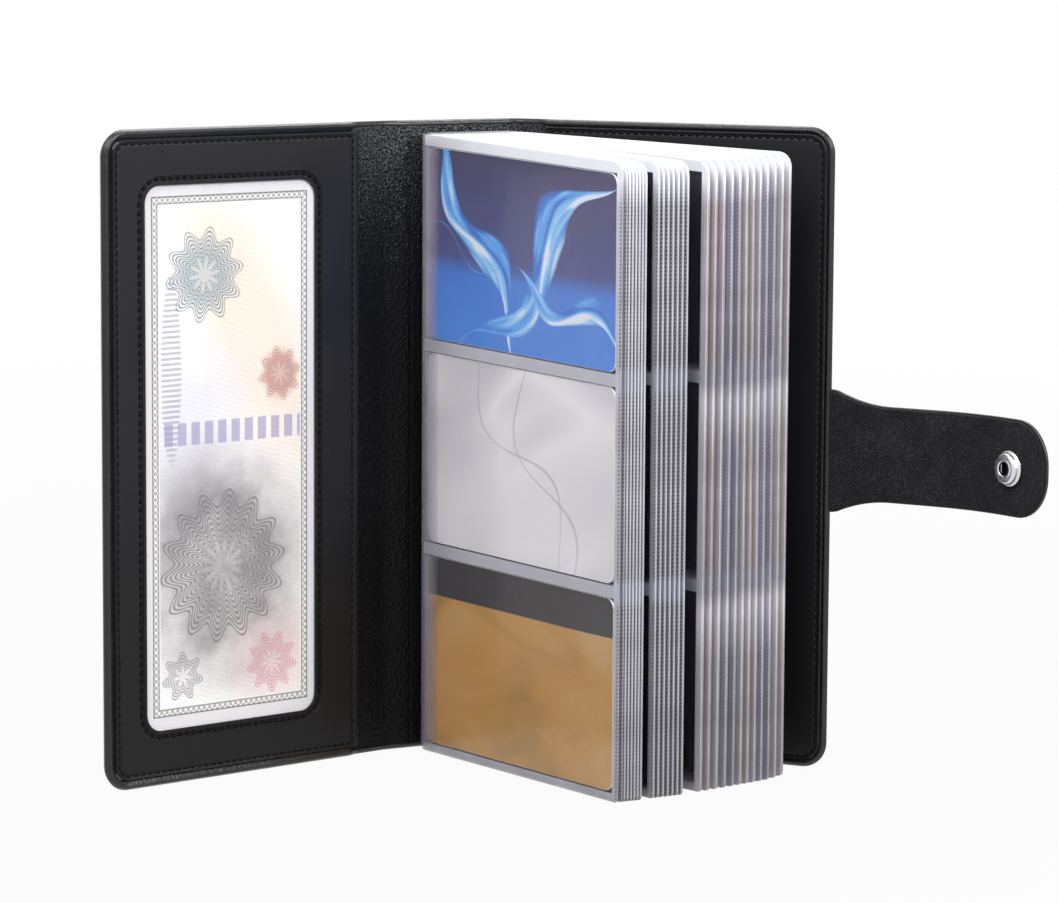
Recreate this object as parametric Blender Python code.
# Credit card book: a leather-covered book of clear card leaves, standing open,
# with a clear window in its front cover and a snap strap on its rear cover.
#
# The origin is at the foot of the spine, midway between its two folds.
# +X is to the right and +Y away from someone who looks at the open book, +Z is up.
# In the spine's own frame +X runs from the front fold to the rear fold, and the
# leaves point to -Y. Each cover, leaf and strap piece hangs on an empty that stands
# on its fold or root, with its length along the empty's +X.
import math

import bmesh
import bpy
from mathutils import Vector

MM = 0.001

# The cards that the book is made for
CARD_LENGTH = 85.6 * MM
CARD_HEIGHT = 53.98 * MM
CARD_THICKNESS = 0.76 * MM
CARD_CORNER = 3.18 * MM
POCKETS = 3

# Room between pieces
SEAT_GAP = 0.3 * MM
FOLD_GAP = 0.4 * MM
BLOCK_GAP = 0.45 * MM
LEAF_GAP = 0.75 * MM
OVERRUN = 2.0 * MM

# Layers of the two covers and the spine
LEATHER = 1.0 * MM
FRONT_BOARD = 1.0 * MM
POCKET_BACK = 0.3 * MM
SLIP = 0.15 * MM
WINDOW_FILM = 0.2 * MM
LINING = 0.5 * MM
REAR_BOARD = 1.4 * MM
SPINE_BOARD = 1.0 * MM
SPINE_LINING = 0.6 * MM
BINDING_STRIP = 0.8 * MM

# Leaves
LEAF_COUNT = 26
LEAF_FILM = 0.2 * MM
LEAF_FLAP = 6.0 * MM
CARD_MOUTH_INSET = 1.0 * MM
CARD_END_GAP = 0.6 * MM
FORE_WELD = 2.5 * MM
FOOT_WELD = 2.4 * MM
POCKET_WELD = 3.4 * MM
HEAD_WELD = 3.0 * MM
LEAF_CORNER = 4.0 * MM
LEAF_FOOT = 1.5 * MM
LEAF_HEADROOM = 5.5 * MM
LEAF_SETBACK = 2.0 * MM

# Covers
RIM = 1.0 * MM
COVER_CORNER = 7.5 * MM
TURNED_EDGE = 0.4 * MM
FRONT_FOLD_ZONE = 15.8 * MM
REAR_FOLD_ZONE = 12.4 * MM

# Clear window and its paper slip in the front cover
WINDOW_FORE_MARGIN = 13.4 * MM
WINDOW_FOLD_MARGIN = 14.2 * MM
WINDOW_END_MARGIN = 15.6 * MM
WINDOW_CORNER = 5.0 * MM
SLIP_INSET = 4.0 * MM
SLIP_WIDTH = 72.0 * MM
SLIP_HEIGHT = 156.0 * MM

# Strap
STRAP_LEATHER = 0.9 * MM
STRAP_LINING = 0.8 * MM
STRAP_WIDTH = 27.2 * MM
STRAP_ROOT_WIDTH = 35.0 * MM
STRAP_FLARE = 17.0 * MM
STRAP_END_LENGTH = 30.2 * MM
STRAP_END_CORNER = 12.0 * MM
SOCKET_FROM_FOLD = 16.5 * MM

# Press stud
SHANK_RADIUS = 1.1 * MM
SHANK_GAP = 0.3 * MM
CAP_RADIUS = 6.2 * MM
CAP_EDGE = 0.5 * MM
CAP_RISE = 1.2 * MM
SOCKET_RADIUS = 5.0 * MM
SOCKET_HEIGHT = 2.4 * MM
SOCKET_WALL = 0.4 * MM
SOCKET_MOUTH_RADIUS = 1.9 * MM
SOCKET_ROUND = 0.5 * MM
SPRING_WIRE = 0.35 * MM
SPRING_GRIP = 1.55 * MM
SPRING_REACH = 1.4 * MM
SPRING_RETURN = 3.4 * MM
STUD_RADIUS = 5.0 * MM
STUD_BASE = 0.5 * MM
STUD_NECK_RADIUS = 1.0 * MM
STUD_HEAD_RADIUS = 1.45 * MM
STUD_HEAD_HEIGHT = 0.8 * MM
POST_RADIUS = 4.0 * MM
POST_BASE = 0.4 * MM

# How the book stands open
SPINE_TURN_DEG = 26.0
FRONT_FOLD_DEG = 12.1
REAR_OPEN_DEG = 36.5
STRAP_TURN_DEG = 5.5
STRAP_BEND_DEG = 24.0
FIRST_LEAF_DEG = 9.5
BUNCH_COUNTS = (7, 7, 12)
BUNCH_STEPS_DEG = (0.07, 0.31, 0.97)
BUNCH_GAPS_DEG = (2.06, 3.3)

# Facets
CORNER_STEPS = 6
BEAD_STEPS = 8
ROUND_STEPS = 32
FLARE_STEPS = 6
WIRE_STEPS = 5
EDGE_STEPS = 2
SMOOTH_ANGLE_DEG = 35.0
MERGE = 0.001 * MM


def stack(first_level, thicknesses):
    """Low and high face of each layer, counted inwards from the fold's axis."""
    levels = []
    low = first_level
    for thickness in thicknesses:
        levels.append((low, low + thickness))
        low += thickness + SEAT_GAP
    return levels


# Levels of each layer above the middle of the leather, towards the leaves
LEATHER_HALF = LEATHER / 2
FRONT_STACK = stack(LEATHER_HALF + SEAT_GAP, (FRONT_BOARD, POCKET_BACK, SLIP, WINDOW_FILM, LINING))
REAR_STACK = stack(LEATHER_HALF + SEAT_GAP, (REAR_BOARD, LINING))
SPINE_STACK = stack(LEATHER_HALF + SEAT_GAP, (SPINE_BOARD, SPINE_LINING, BINDING_STRIP))
FOLD_STACK = stack(LEATHER_HALF + SEAT_GAP, (SPINE_LINING,))
FRONT_FACE = FRONT_STACK[-1][1]
REAR_FACE = REAR_STACK[-1][1]

# A leaf's height and length follow its pockets
CARD_ROOM = CARD_THICKNESS + 2 * SEAT_GAP
POCKET_HEIGHT = CARD_HEIGHT + 2 * SEAT_GAP
POCKET_LENGTH = CARD_MOUTH_INSET + CARD_LENGTH + CARD_END_GAP
POCKET_PITCH = POCKET_HEIGHT + POCKET_WELD
LEAF_HEIGHT = FOOT_WELD + POCKETS * POCKET_HEIGHT + (POCKETS - 1) * POCKET_WELD + HEAD_WELD
LEAF_LENGTH = LEAF_FLAP + POCKET_LENGTH + FORE_WELD
ROOT_LEVEL = SPINE_STACK[-1][1] + BLOCK_GAP

# The covers follow the leaves, and the spine follows what is shut between the covers
COVER_HEIGHT = LEAF_FOOT + LEAF_HEIGHT + LEAF_HEADROOM
COVER_REACH = ROOT_LEVEL + LEAF_LENGTH + LEAF_SETBACK
FIRST_ROOT = FRONT_FACE + BLOCK_GAP + LEAF_FILM + CARD_ROOM
SECOND_ROOT = FIRST_ROOT + LEAF_FILM + LEAF_GAP + LEAF_FILM
LEAF_PITCH = 2 * LEAF_FILM + LEAF_GAP
LAST_ROOT = SECOND_ROOT + (LEAF_COUNT - 2) * LEAF_PITCH
SPINE_WIDTH = LAST_ROOT + LEAF_FILM + BLOCK_GAP + REAR_FACE
FRONT_FOLD_X = -SPINE_WIDTH / 2
REAR_FOLD_X = SPINE_WIDTH / 2

# The strap reaches round the shut book from the rear cover to the stud on the front one
STRAP_HALF = (STRAP_LEATHER + SEAT_GAP + STRAP_LINING) / 2
STRAP_LEVEL = COVER_HEIGHT / 2
REAR_MIDDLE = (REAR_FACE - LEATHER_HALF) / 2
SNAP_STACK = SEAT_GAP + STUD_BASE + SEAT_GAP + SOCKET_HEIGHT + SEAT_GAP
BRIDGE_LENGTH = SPINE_WIDTH - REAR_MIDDLE + LEATHER_HALF + SNAP_STACK + STRAP_HALF
STRAP_ROOT_X = COVER_REACH + SEAT_GAP + STRAP_HALF
STUD_X = STRAP_ROOT_X - SOCKET_FROM_FOLD

FRONT = 1
REAR = -1


def clear_scene():
    for item in list(bpy.data.objects):
        bpy.data.objects.remove(item, do_unlink=True)


def material(name, colour, roughness, metallic=0):
    made = bpy.data.materials.new(name)
    made.use_nodes = True
    shader = made.node_tree.nodes["Principled BSDF"]
    shader.inputs["Base Color"].default_value = (*colour, 1)
    shader.inputs["Roughness"].default_value = roughness
    shader.inputs["Metallic"].default_value = metallic
    return made


def pivot(name, parent, x, y, turn_deg):
    """Empty on a fold or root, turned about the upright axis."""
    empty = bpy.data.objects.new(name, None)
    bpy.context.collection.objects.link(empty)
    empty.parent = parent
    empty.location = (x, y, 0)
    empty.rotation_euler = (0, 0, math.radians(turn_deg))
    return empty


def place(name, bm, parent, finish):
    """Turn a bmesh into a named object under a pivot."""
    bmesh.ops.recalc_face_normals(bm, faces=bm.faces)
    mesh = bpy.data.meshes.new(name)
    bm.to_mesh(mesh)
    bm.free()
    piece = bpy.data.objects.new(name, mesh)
    bpy.context.collection.objects.link(piece)
    piece.parent = parent
    if finish is not None:
        mesh.materials.append(finish)
    return piece


def hide_cutter(cutter):
    cutter.hide_render = True
    cutter.display_type = "WIRE"


def combine(target, tool_name, bm, operation):
    """Boolean a bmesh into a target that hangs on the same pivot."""
    tool = place(tool_name, bm, target.parent, None)
    hide_cutter(tool)
    change = target.modifiers.new(tool_name, "BOOLEAN")
    change.operation = operation
    change.solver = "EXACT"
    change.object = tool


def arc(centre, radius, start_deg, sweep_deg, steps):
    points = []
    for step in range(steps + 1):
        angle = math.radians(start_deg + sweep_deg * step / steps)
        points.append((centre[0] + radius * math.cos(angle), centre[1] + radius * math.sin(angle)))
    return points


def sheet_outline(low_x, high_x, low_z, high_z, near_radius, far_radius):
    """Rectangle in length and height, its corners rounded at the near and far end."""
    outline = []
    corners = (
        (low_x, low_z, near_radius, 1, 1, 180),
        (high_x, low_z, far_radius, -1, 1, 270),
        (high_x, high_z, far_radius, -1, -1, 0),
        (low_x, high_z, near_radius, 1, -1, 90),
    )
    for x, z, radius, in_x, in_z, start_deg in corners:
        if radius > 0:
            centre = (x + in_x * radius, z + in_z * radius)
            outline += arc(centre, radius, start_deg, 90, CORNER_STEPS)
        else:
            outline.append((x, z))
    return outline


def add_slab(bm, outline, low, high):
    """Extrude an outline in length and height through a depth along Y."""
    base = bm.faces.new([bm.verts.new((x, low, z)) for x, z in outline])
    risen = bmesh.ops.extrude_face_region(bm, geom=[base])
    moved = [item for item in risen["geom"] if isinstance(item, bmesh.types.BMVert)]
    bmesh.ops.translate(bm, verts=moved, vec=Vector((0, high - low, 0)))


def add_column(bm, section, low_z, high_z):
    """Extrude a section in length and depth along the height."""
    base = bm.faces.new([bm.verts.new((x, y, low_z)) for x, y in section])
    risen = bmesh.ops.extrude_face_region(bm, geom=[base])
    moved = [item for item in risen["geom"] if isinstance(item, bmesh.types.BMVert)]
    bmesh.ops.translate(bm, verts=moved, vec=Vector((0, 0, high_z - low_z)))


def rectangle(low_x, high_x, low_y, high_y):
    return [(low_x, low_y), (high_x, low_y), (high_x, high_y), (low_x, high_y)]


def slab(outline, low, high):
    bm = bmesh.new()
    add_slab(bm, outline, low, high)
    return bm


def round_bar(radius, low, high, x, z):
    """Cylinder along Y, for holes and shanks."""
    return slab(arc((x, z), radius, 0, 360, ROUND_STEPS)[:-1], low, high)


def turned(name, profile, parent, x, level, facing, finish):
    """Solid of revolution about Y at the strap's height, from a profile of (radius, height above the level)."""
    bm = bmesh.new()
    rim = [bm.verts.new((radius, level + facing * height, 0)) for radius, height in profile]
    edges = [bm.edges.new(pair) for pair in zip(rim, rim[1:])]
    bmesh.ops.spin(bm, geom=rim + edges, cent=(0, 0, 0), axis=(0, 1, 0), angle=math.tau,
                   steps=ROUND_STEPS, use_merge=True, use_duplicate=False)
    bmesh.ops.remove_doubles(bm, verts=bm.verts, dist=MERGE)
    bmesh.ops.translate(bm, verts=bm.verts, vec=Vector((x, 0, STRAP_LEVEL)))
    piece = place(name, bm, parent, finish)
    piece.data.shade_smooth()
    piece.data.set_sharp_from_angle(angle=math.radians(SMOOTH_ANGLE_DEG))


def round_turned_edge(bm, level):
    """Round the outer edge of the leather, on its outer face."""
    edges = [edge for edge in bm.edges
             if all(abs(vert.co.y - level) < MERGE for vert in edge.verts)
             and all(vert.co.x > LEATHER for vert in edge.verts)]
    bmesh.ops.bevel(bm, geom=edges, offset=TURNED_EDGE, segments=EDGE_STEPS, profile=0.5, affect="EDGES")


def cover_leather(name, fold, side, face, finish):
    """Leather over the cover, its edge turned round the board on three sides."""
    start = LEATHER_HALF + SEAT_GAP
    outline = sheet_outline(start, COVER_REACH, 0, COVER_HEIGHT, 0, COVER_CORNER)
    bm = slab(outline, -side * LEATHER_HALF, side * face)
    round_turned_edge(bm, -side * LEATHER_HALF)
    leather = place(name, bm, fold, finish)
    inside = sheet_outline(start - OVERRUN, COVER_REACH - RIM, RIM, COVER_HEIGHT - RIM, 0, COVER_CORNER - RIM)
    hollow = slab(inside, side * LEATHER_HALF, side * (face + OVERRUN))
    combine(leather, name + "_hollow", hollow, "DIFFERENCE")
    return leather


def inner_outline(fold_zone):
    """Boards and linings inside the turned edge, from the fold zone to the fore edge."""
    margin = RIM + SEAT_GAP
    return sheet_outline(fold_zone + SEAT_GAP, COVER_REACH - margin, margin, COVER_HEIGHT - margin,
                         0, COVER_CORNER - margin)


def inner_sheet(name, fold, side, fold_zone, level, finish):
    low, high = level
    return place(name, slab(inner_outline(fold_zone), side * low, side * high), fold, finish)


def fold_lining(name, fold, side, fold_zone, finish):
    """Grained lining that crosses the fold, glued to the leather beside the board."""
    low, high = FOLD_STACK[0]
    margin = RIM + SEAT_GAP
    outline = sheet_outline(LEATHER_HALF + 2 * SEAT_GAP, fold_zone, margin, COVER_HEIGHT - margin, 0, 0)
    place(name, slab(outline, side * low, side * high), fold, finish)


def make_front_cover(fold, finishes):
    leather = cover_leather("front_cover_leather", fold, FRONT, FRONT_FACE, finishes["leather"])
    board_level, back_level, slip_level, film_level, lining_level = FRONT_STACK
    board = inner_sheet("front_cover_board", fold, FRONT, FRONT_FOLD_ZONE, board_level, finishes["board"])
    inner_sheet("front_pocket_back", fold, FRONT, FRONT_FOLD_ZONE, back_level, finishes["lining"])
    inner_sheet("window_film", fold, FRONT, FRONT_FOLD_ZONE, film_level, finishes["film"])
    frame = inner_sheet("window_frame_lining", fold, FRONT, FRONT_FOLD_ZONE, lining_level, finishes["leather"])
    window = sheet_outline(FRONT_FOLD_ZONE + WINDOW_FOLD_MARGIN, COVER_REACH - WINDOW_FORE_MARGIN,
                           WINDOW_END_MARGIN, COVER_HEIGHT - WINDOW_END_MARGIN, WINDOW_CORNER, WINDOW_CORNER)
    low, high = lining_level
    combine(frame, "window_cut", slab(window, low - OVERRUN, high + OVERRUN), "DIFFERENCE")

    slip_foot = (COVER_HEIGHT - SLIP_HEIGHT) / 2
    slip_near = FRONT_FOLD_ZONE + SLIP_INSET
    outline = sheet_outline(slip_near, slip_near + SLIP_WIDTH, slip_foot, slip_foot + SLIP_HEIGHT, 0, 0)
    place("paper_slip", slab(outline, *slip_level), fold, finishes["paper"])
    fold_lining("front_fold_lining", fold, FRONT, FRONT_FOLD_ZONE, finishes["grained"])

    shank_hole = round_bar(SHANK_RADIUS + SHANK_GAP, -LEATHER_HALF - OVERRUN, LEATHER_HALF + OVERRUN,
                           STUD_X, STRAP_LEVEL)
    combine(leather, "post_hole_in_leather", shank_hole, "DIFFERENCE")
    post_hole = round_bar(POST_RADIUS + SHANK_GAP, board_level[0] - OVERRUN, board_level[1] + OVERRUN,
                          STUD_X, STRAP_LEVEL)
    combine(board, "post_hole_in_board", post_hole, "DIFFERENCE")


def make_rear_cover(fold, finishes):
    cover_leather("rear_cover_leather", fold, REAR, REAR_FACE, finishes["leather"])
    board_level, lining_level = REAR_STACK
    inner_sheet("rear_cover_board", fold, REAR, REAR_FOLD_ZONE, board_level, finishes["board"])
    inner_sheet("rear_cover_lining", fold, REAR, REAR_FOLD_ZONE, lining_level, finishes["leather"])
    fold_lining("rear_fold_lining", fold, REAR, REAR_FOLD_ZONE, finishes["grained"])


def make_spine(spine, finishes):
    """Spine leather with a round bead on each fold, and its board, lining and binding strip."""
    section = arc((FRONT_FOLD_X, 0), LEATHER_HALF, 90, 180, BEAD_STEPS)
    section += arc((REAR_FOLD_X, 0), LEATHER_HALF, 270, 180, BEAD_STEPS)
    bm = bmesh.new()
    add_column(bm, section, 0, COVER_HEIGHT)
    leather = place("spine_leather", bm, spine, finishes["leather"])
    low_x = FRONT_FOLD_X + FRONT_FACE + FOLD_GAP
    high_x = REAR_FOLD_X - REAR_FACE - FOLD_GAP
    board_level, lining_level, strip_level = SPINE_STACK
    rims = bmesh.new()
    for low_z in (0, COVER_HEIGHT - RIM):
        add_column(rims, rectangle(low_x, high_x, -lining_level[1], 0), low_z, low_z + RIM)
    combine(leather, "spine_turned_edges", rims, "UNION")

    margin = RIM + SEAT_GAP
    outline = sheet_outline(low_x, high_x, margin, COVER_HEIGHT - margin, 0, 0)
    place("spine_board", slab(outline, -board_level[0], -board_level[1]), spine, finishes["board"])
    place("spine_lining", slab(outline, -lining_level[0], -lining_level[1]), spine, finishes["grained"])
    strip_outline = sheet_outline(low_x, high_x, LEAF_FOOT, LEAF_FOOT + LEAF_HEIGHT, 0, 0)
    place("leaf_binding_strip", slab(strip_outline, -strip_level[0], -strip_level[1]), spine, finishes["strip"])


def leaf_blank(front_level):
    """Two films welded together: the rear one from the root, the front one from the pocket mouths."""
    section = [(0, 0), (LEAF_FLAP, 0), (LEAF_FLAP, -front_level), (LEAF_LENGTH, -front_level),
               (LEAF_LENGTH, LEAF_FILM), (0, LEAF_FILM)]
    bm = bmesh.new()
    add_column(bm, section, LEAF_FOOT, LEAF_FOOT + LEAF_HEIGHT)
    corners = [edge for edge in bm.edges
               if all(abs(vert.co.x - LEAF_LENGTH) < MERGE for vert in edge.verts)
               and abs(edge.verts[0].co.z - edge.verts[1].co.z) < MERGE]
    bmesh.ops.bevel(bm, geom=corners, offset=LEAF_CORNER, segments=CORNER_STEPS, profile=0.5, affect="EDGES")
    return bm


def pocket_foot(number):
    """Height of a pocket's lower weld, counted up from the lowest pocket."""
    return LEAF_FOOT + FOOT_WELD + number * POCKET_PITCH


def make_card_leaf(root, finishes):
    """First leaf, its pockets held open by the three cards in them."""
    leaf = place("leaf_01", leaf_blank(CARD_ROOM + LEAF_FILM), root, finishes["film"])
    pockets = bmesh.new()
    for number in range(POCKETS):
        low = pocket_foot(number)
        section = rectangle(LEAF_FLAP - OVERRUN, LEAF_FLAP + POCKET_LENGTH, -CARD_ROOM, 0)
        add_column(pockets, section, low, low + POCKET_HEIGHT)
    combine(leaf, "pocket_cuts", pockets, "DIFFERENCE")


def make_cards(root, finishes):
    near = LEAF_FLAP + CARD_MOUTH_INSET
    for number, name in enumerate(("card_lower", "card_middle", "card_upper")):
        low = pocket_foot(number) + SEAT_GAP
        outline = sheet_outline(near, near + CARD_LENGTH, low, low + CARD_HEIGHT, CARD_CORNER, CARD_CORNER)
        card = slab(outline, -SEAT_GAP - CARD_THICKNESS, -SEAT_GAP)
        place(name, card, root, finishes[name])


def leaf_angles():
    """Rest angle of each leaf from square to the spine: three bunches with gaps between them."""
    angles = []
    angle = FIRST_LEAF_DEG
    for bunch, count in enumerate(BUNCH_COUNTS):
        angles += [angle + BUNCH_STEPS_DEG[bunch] * number for number in range(count)]
        angle = angles[-1] + (BUNCH_GAPS_DEG + (0,))[bunch]
    return angles


def leaf_root_x(number):
    """Place of a leaf's root along the spine, counted from the first leaf."""
    if number == 0:
        return FRONT_FOLD_X + FIRST_ROOT
    return FRONT_FOLD_X + SECOND_ROOT + (number - 1) * LEAF_PITCH


def make_leaves(spine, finishes):
    plain_mesh = None
    for number, angle in enumerate(leaf_angles()):
        name = "leaf_%02d" % (number + 1)
        root = pivot(name + "_root", spine, leaf_root_x(number), -ROOT_LEVEL, angle - 90)
        if number == 0:
            make_card_leaf(root, finishes)
            make_cards(root, finishes)
        elif plain_mesh is None:
            plain_mesh = place(name, leaf_blank(LEAF_FILM), root, finishes["film"]).data
        else:
            leaf = bpy.data.objects.new(name, plain_mesh)
            bpy.context.collection.objects.link(leaf)
            leaf.parent = root


def bead(radius, half_width):
    """Rolled end of a strap piece, round its fold's axis."""
    bm = bmesh.new()
    circle = arc((0, 0), radius, 0, 360, 2 * BEAD_STEPS)[:-1]
    add_column(bm, circle, STRAP_LEVEL - half_width, STRAP_LEVEL + half_width)
    return bm


def bridge_outline(near_x):
    """Strap from its flared root to its fold, as an outline in length and height."""
    end = BRIDGE_LENGTH - STRAP_HALF - SEAT_GAP
    narrow = STRAP_WIDTH / 2
    flare = STRAP_ROOT_WIDTH / 2 - narrow
    upper = []
    for step in range(FLARE_STEPS + 1):
        x = near_x + (STRAP_FLARE - near_x) * step / FLARE_STEPS
        upper.append((x, narrow + flare * (1 - x / STRAP_FLARE) ** 2))
    upper.append((end, narrow))
    lower = [(x, STRAP_LEVEL - half) for x, half in upper]
    return lower + [(x, STRAP_LEVEL + half) for x, half in reversed(upper)]


def make_strap(root, end_fold, finishes):
    """Strap in two lengths, each of leather outside and a soft lining inside."""
    leather_level = (STRAP_HALF - STRAP_LEATHER, STRAP_HALF)
    lining_level = (-STRAP_HALF, STRAP_LINING - STRAP_HALF)
    leather = place("strap_leather", slab(bridge_outline(0), *leather_level), root, finishes["leather"])
    combine(leather, "strap_root_bead", bead(STRAP_HALF, STRAP_ROOT_WIDTH / 2), "UNION")
    past_bead = STRAP_HALF + SEAT_GAP
    place("strap_lining", slab(bridge_outline(past_bead), *lining_level), root, finishes["suede"])

    half = STRAP_WIDTH / 2
    low, high = STRAP_LEVEL - half, STRAP_LEVEL + half
    outer = sheet_outline(0, STRAP_END_LENGTH, low, high, 0, STRAP_END_CORNER)
    inner = sheet_outline(past_bead, STRAP_END_LENGTH, low, high, 0, STRAP_END_CORNER)
    end_leather = place("strap_end_leather", slab(outer, *leather_level), end_fold, finishes["leather"])
    combine(end_leather, "strap_end_bead", bead(STRAP_HALF, half), "UNION")
    end_lining = place("strap_end_lining", slab(inner, *lining_level), end_fold, finishes["suede"])
    for piece in (end_leather, end_lining):
        hole = round_bar(SHANK_RADIUS + SHANK_GAP, -STRAP_HALF - OVERRUN, STRAP_HALF + OVERRUN,
                         SOCKET_FROM_FOLD, STRAP_LEVEL)
        combine(piece, "shank_hole_in_" + piece.name, hole, "DIFFERENCE")


def make_spring(parent, level, finish):
    """Bent wire in the socket: a run on each side of the mouth, joined by a return run at one side."""
    curve = bpy.data.curves.new("snap_spring", "CURVE")
    curve.dimensions = "3D"
    curve.bevel_depth = SPRING_WIRE / 2
    curve.bevel_resolution = 2
    curve.use_fill_caps = True
    top_turn = (SPRING_RETURN + SPRING_GRIP) / 2
    foot_turn = (SPRING_RETURN - SPRING_GRIP) / 2
    route = [(-SPRING_GRIP, -SPRING_REACH)]
    route += arc((SPRING_RETURN - top_turn, SPRING_REACH), top_turn, 180, -180, WIRE_STEPS)
    route += arc((SPRING_RETURN - foot_turn, -SPRING_REACH), foot_turn, 0, -180, WIRE_STEPS)
    route.append((SPRING_GRIP, SPRING_REACH))
    spline = curve.splines.new("POLY")
    spline.points.add(len(route) - 1)
    for point, (x, z) in zip(spline.points, route):
        point.co = (SOCKET_FROM_FOLD + x, level, STRAP_LEVEL + z, 1)
    curve.materials.append(finish)
    spring = bpy.data.objects.new("snap_spring", curve)
    bpy.context.collection.objects.link(spring)
    spring.parent = parent


def make_strap_snap(end_fold, finishes):
    """Domed cap outside the strap's end, and inside it the socket with its spring."""
    shank = 2 * STRAP_HALF + SEAT_GAP
    dome = CAP_RISE - CAP_EDGE
    cap = [(0, -shank), (SHANK_RADIUS, -shank), (SHANK_RADIUS, 0), (CAP_RADIUS, 0)]
    quarter = arc((0, 0), 1, 0, 90, CORNER_STEPS)[:-1]
    cap += [(CAP_RADIUS * across, CAP_EDGE + dome * up) for across, up in quarter]
    cap.append((0, CAP_RISE))
    turned("snap_cap", cap, end_fold, SOCKET_FROM_FOLD, STRAP_HALF + SEAT_GAP, 1, finishes["metal"])

    seat = -STRAP_HALF - SEAT_GAP
    chamber = SOCKET_RADIUS - SOCKET_WALL
    mouth = SOCKET_HEIGHT - SOCKET_WALL
    socket = [(0, 0), (SOCKET_RADIUS, 0)]
    socket += arc((SOCKET_RADIUS - SOCKET_ROUND, SOCKET_HEIGHT - SOCKET_ROUND), SOCKET_ROUND, 0, 90, EDGE_STEPS)
    socket += [(SOCKET_MOUTH_RADIUS, SOCKET_HEIGHT), (SOCKET_MOUTH_RADIUS, mouth), (chamber, mouth),
               (chamber, SOCKET_WALL), (0, SOCKET_WALL)]
    turned("snap_socket", socket, end_fold, SOCKET_FROM_FOLD, seat, -1, finishes["metal"])
    make_spring(end_fold, seat - mouth + SEAT_GAP + SPRING_WIRE / 2, finishes["spring"])


def make_cover_snap(fold, finishes):
    """Stud outside the front cover, held by a post through the leather."""
    stud_top = STUD_BASE + SEAT_GAP + SOCKET_HEIGHT - SOCKET_WALL - SEAT_GAP
    neck_top = stud_top - STUD_HEAD_HEIGHT
    chamfer = STUD_HEAD_RADIUS - STUD_NECK_RADIUS
    stud = [(0, 0), (STUD_RADIUS, 0), (STUD_RADIUS, STUD_BASE), (STUD_NECK_RADIUS, STUD_BASE),
            (STUD_NECK_RADIUS, neck_top), (STUD_HEAD_RADIUS, neck_top + chamfer / 2),
            (STUD_HEAD_RADIUS, stud_top - chamfer / 2), (STUD_NECK_RADIUS, stud_top), (0, stud_top)]
    turned("snap_stud", stud, fold, STUD_X, -LEATHER_HALF - SEAT_GAP, -1, finishes["metal"])

    shank = LEATHER + SEAT_GAP
    post = [(0, -shank), (SHANK_RADIUS, -shank), (SHANK_RADIUS, 0), (POST_RADIUS, 0), (POST_RADIUS, POST_BASE),
            (0, POST_BASE)]
    turned("snap_post", post, fold, STUD_X, LEATHER_HALF + SEAT_GAP, 1, finishes["metal"])


def main():
    clear_scene()
    finishes = {
        "leather": material("black_leather", (0.013, 0.012, 0.016), 0.5),
        "grained": material("grained_black_lining", (0.010, 0.011, 0.012), 0.6),
        "lining": material("black_pocket_lining", (0.012, 0.012, 0.014), 0.8),
        "suede": material("black_suede", (0.030, 0.029, 0.036), 0.95),
        "board": material("grey_board", (0.25, 0.23, 0.20), 0.9),
        "paper": material("printed_paper", (0.80, 0.72, 0.70), 0.8),
        "film": material("clear_film", (0.75, 0.77, 0.85), 0.15),
        "strip": material("black_strip", (0.015, 0.015, 0.017), 0.6),
        "metal": material("dark_nickel", (0.20, 0.20, 0.21), 0.3, 1),
        "spring": material("spring_steel", (0.35, 0.35, 0.36), 0.3, 1),
        "card_upper": material("blue_card", (0.10, 0.22, 0.58), 0.3),
        "card_middle": material("silver_card", (0.70, 0.70, 0.73), 0.35),
        "card_lower": material("gold_card", (0.38, 0.22, 0.09), 0.35),
    }
    spine = pivot("spine_axis", None, 0, 0, SPINE_TURN_DEG)
    front_fold = pivot("front_fold_axis", spine, FRONT_FOLD_X, 0, 180 + FRONT_FOLD_DEG)
    rear_fold = pivot("rear_fold_axis", spine, REAR_FOLD_X, 0, REAR_OPEN_DEG - 90)
    strap_root = pivot("strap_root_axis", rear_fold, STRAP_ROOT_X, -REAR_MIDDLE, -STRAP_TURN_DEG)
    strap_fold = pivot("strap_fold_axis", strap_root, BRIDGE_LENGTH, 0, -STRAP_BEND_DEG)
    make_spine(spine, finishes)
    make_front_cover(front_fold, finishes)
    make_rear_cover(rear_fold, finishes)
    make_leaves(spine, finishes)
    make_strap(strap_root, strap_fold, finishes)
    make_strap_snap(strap_fold, finishes)
    make_cover_snap(front_fold, finishes)


main()
